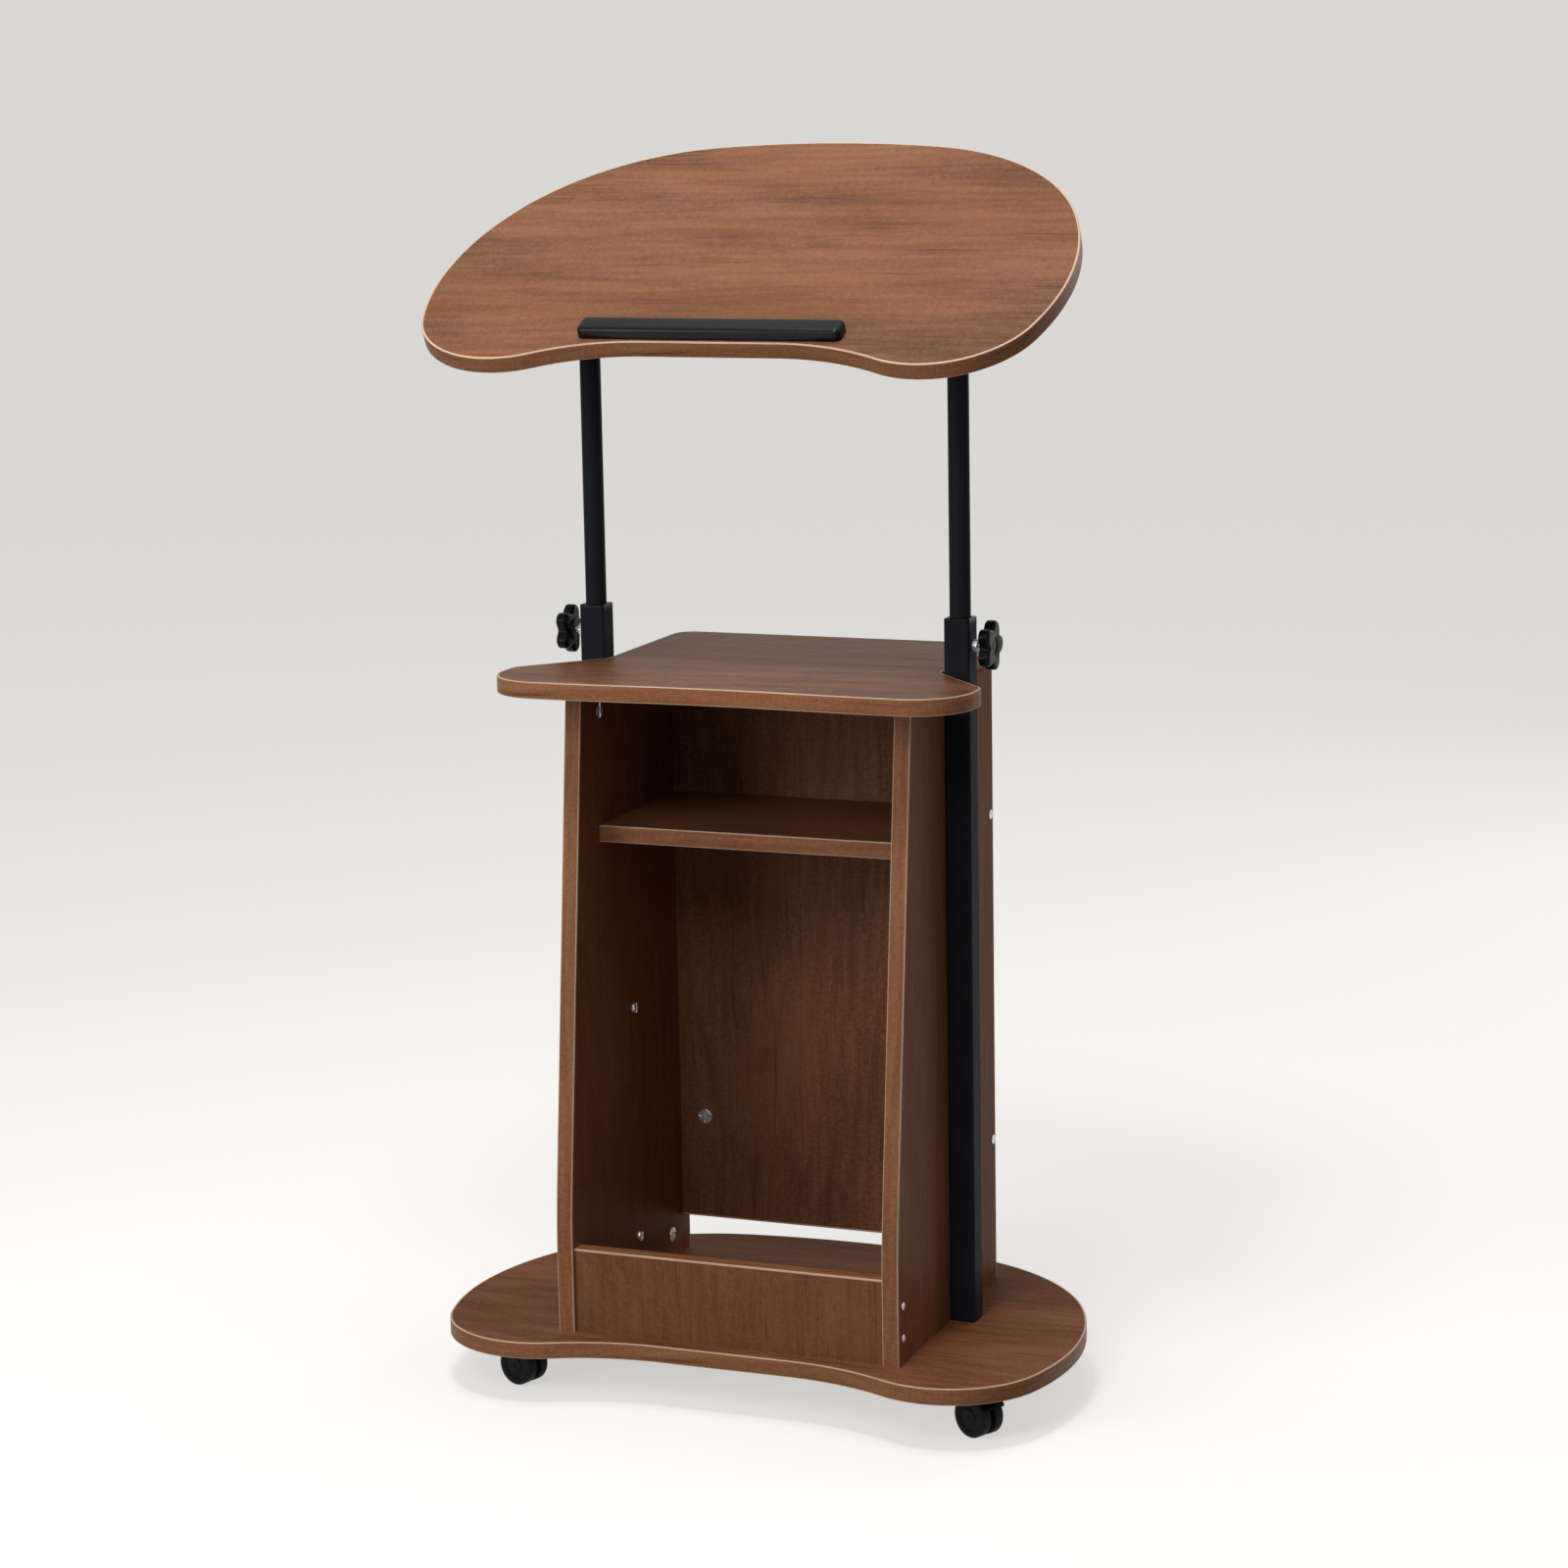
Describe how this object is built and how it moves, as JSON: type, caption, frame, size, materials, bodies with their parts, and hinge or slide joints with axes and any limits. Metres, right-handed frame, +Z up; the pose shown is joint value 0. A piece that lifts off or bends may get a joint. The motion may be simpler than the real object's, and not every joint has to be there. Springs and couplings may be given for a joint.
{
  "type": "rolling lectern",
  "caption": "Rolling wooden lectern with an open cabinet, a kidney-shaped base and a matching desk that tilts and rises on a bent steel tube held by star knobs.",
  "frame": {"origin": "On the floor under the middle of the base board", "axes": "+Z up, +Y the back, +X to the right as seen from the front"},
  "size_m": [0.62, 0.4, 1.1769],
  "materials": {
    "walnut_board": "melamine with a walnut print",
    "edge_band": "walnut edge band with pale corners",
    "black_steel": "semi-gloss black powder coat",
    "black_plastic": "moulded, slightly glossy",
    "caster_tread": "smooth hard rubber",
    "zinc": "bright zinc plate",
    "nylon": "natural nylon"
  },
  "bodies": {
    "root": {"base_board": "walnut_board", "base_edge_band": "edge_band", "side_panel_left": "walnut_board", "side_panel_right": "walnut_board", "kick_board": "walnut_board", "back_panel": "walnut_board", "inner_shelf": "walnut_board", "mid_shelf": "walnut_board", "mid_shelf_edge_band": "edge_band", "straight_edge_bands": "edge_band", "post_left": "black_steel", "post_right": "black_steel", "collar_left": "black_plastic", "collar_right": "black_plastic", "knob_nuts": "zinc", "post_bolts": "zinc", "post_nuts": "zinc", "shelf_pins": "zinc", "cam_locks": "zinc", "cam_bolts": "zinc", "kick_screws": "zinc", "caster_plates": "black_steel", "caster_kingpins": "zinc", "caster_screws": "zinc"},
    "lift": {"lift_frame": "black_steel", "leg_glides": "black_plastic"},
    "desk": {"desk_top": "walnut_board", "desk_edge_band": "edge_band", "book_stop": "black_plastic", "book_stop_screws": "zinc", "hinge_saddles": "black_steel", "hinge_straps": "black_steel", "hinge_liners": "nylon", "saddle_screws": "zinc", "clamp_nuts": "zinc"},
    "knob_left": {"star_knob_left": "black_plastic", "knob_stud_left": "zinc"},
    "knob_right": {"star_knob_right": "black_plastic", "knob_stud_right": "zinc"},
    "tilt_knob_left": {"tilt_knob_left": "black_plastic", "tilt_stud_left": "zinc"},
    "tilt_knob_right": {"tilt_knob_right": "black_plastic", "tilt_stud_right": "zinc"},
    "caster_front_left": {"caster_hood_front_left": "black_plastic", "caster_axle_front_left": "zinc"},
    "wheel_front_left_a": {"caster_wheel_front_left_a": "caster_tread"},
    "wheel_front_left_b": {"caster_wheel_front_left_b": "caster_tread"},
    "caster_front_right": {"caster_hood_front_right": "black_plastic", "caster_axle_front_right": "zinc"},
    "wheel_front_right_a": {"caster_wheel_front_right_a": "caster_tread"},
    "wheel_front_right_b": {"caster_wheel_front_right_b": "caster_tread"},
    "caster_rear_left": {"caster_hood_rear_left": "black_plastic", "caster_axle_rear_left": "zinc"},
    "wheel_rear_left_a": {"caster_wheel_rear_left_a": "caster_tread"},
    "wheel_rear_left_b": {"caster_wheel_rear_left_b": "caster_tread"},
    "caster_rear_right": {"caster_hood_rear_right": "black_plastic", "caster_axle_rear_right": "zinc"},
    "wheel_rear_right_a": {"caster_wheel_rear_right_a": "caster_tread"},
    "wheel_rear_right_b": {"caster_wheel_rear_right_b": "caster_tread"}
  },
  "joints": [
    {"name": "desk_height", "type": "slide", "parent": "root", "child": "lift", "axis": [0, 0, 1], "range_m": [-0.235, 0.065]},
    {"name": "desk_tilt", "type": "hinge", "parent": "lift", "child": "desk", "pos_m": [0, 0.004, 1.037], "axis": [1, 0, 0], "range_deg": [-27, 33]},
    {"name": "knob_left_turn", "type": "hinge", "parent": "root", "child": "knob_left", "pos_m": [-0.203, 0.004, 0.719], "axis": [-1, 0, 0], "range_deg": [0, 360]},
    {"name": "knob_right_turn", "type": "hinge", "parent": "root", "child": "knob_right", "pos_m": [0.203, 0.004, 0.719], "axis": [1, 0, 0], "range_deg": [0, 360]},
    {"name": "tilt_knob_left_turn", "type": "hinge", "parent": "desk", "child": "tilt_knob_left", "pos_m": [-0.11, -0.01921, 1.02517], "axis": [0, 0.454, -0.891], "range_deg": [0, 360]},
    {"name": "tilt_knob_right_turn", "type": "hinge", "parent": "desk", "child": "tilt_knob_right", "pos_m": [0.11, -0.01921, 1.02517], "axis": [0, 0.454, -0.891], "range_deg": [0, 360]},
    {"name": "caster_front_left_swivel", "type": "hinge", "parent": "root", "child": "caster_front_left", "pos_m": [-0.233, -0.128, 0.045], "axis": [0, 0, 1], "continuous": true},
    {"name": "wheel_front_left_a_roll", "type": "hinge", "parent": "caster_front_left", "child": "wheel_front_left_a", "pos_m": [-0.22254, -0.1314, 0.02], "axis": [0.309, 0.9511, 0], "continuous": true},
    {"name": "wheel_front_left_b_roll", "type": "hinge", "parent": "caster_front_left", "child": "wheel_front_left_b", "pos_m": [-0.22254, -0.1314, 0.02], "axis": [0.309, 0.9511, 0], "continuous": true},
    {"name": "caster_front_right_swivel", "type": "hinge", "parent": "root", "child": "caster_front_right", "pos_m": [0.233, -0.128, 0.045], "axis": [0, 0, 1], "continuous": true},
    {"name": "wheel_front_right_a_roll", "type": "hinge", "parent": "caster_front_right", "child": "wheel_front_right_a", "pos_m": [0.24271, -0.13316, 0.02], "axis": [0.4695, 0.8829, 0], "continuous": true},
    {"name": "wheel_front_right_b_roll", "type": "hinge", "parent": "caster_front_right", "child": "wheel_front_right_b", "pos_m": [0.24271, -0.13316, 0.02], "axis": [0.4695, 0.8829, 0], "continuous": true},
    {"name": "caster_rear_left_swivel", "type": "hinge", "parent": "root", "child": "caster_rear_left", "pos_m": [-0.205, 0.109, 0.045], "axis": [0, 0, 1], "continuous": true},
    {"name": "wheel_rear_left_a_roll", "type": "hinge", "parent": "caster_rear_left", "child": "wheel_rear_left_a", "pos_m": [-0.19466, 0.10524, 0.02], "axis": [0.342, 0.9397, 0], "continuous": true},
    {"name": "wheel_rear_left_b_roll", "type": "hinge", "parent": "caster_rear_left", "child": "wheel_rear_left_b", "pos_m": [-0.19466, 0.10524, 0.02], "axis": [0.342, 0.9397, 0], "continuous": true},
    {"name": "caster_rear_right_swivel", "type": "hinge", "parent": "root", "child": "caster_rear_right", "pos_m": [0.205, 0.109, 0.045], "axis": [0, 0, 1], "continuous": true},
    {"name": "wheel_rear_right_a_roll", "type": "hinge", "parent": "caster_rear_right", "child": "wheel_rear_right_a", "pos_m": [0.21401, 0.10269, 0.02], "axis": [0.5736, 0.8192, 0], "continuous": true},
    {"name": "wheel_rear_right_b_roll", "type": "hinge", "parent": "caster_rear_right", "child": "wheel_rear_right_b", "pos_m": [0.21401, 0.10269, 0.02], "axis": [0.5736, 0.8192, 0], "continuous": true}
  ]
}
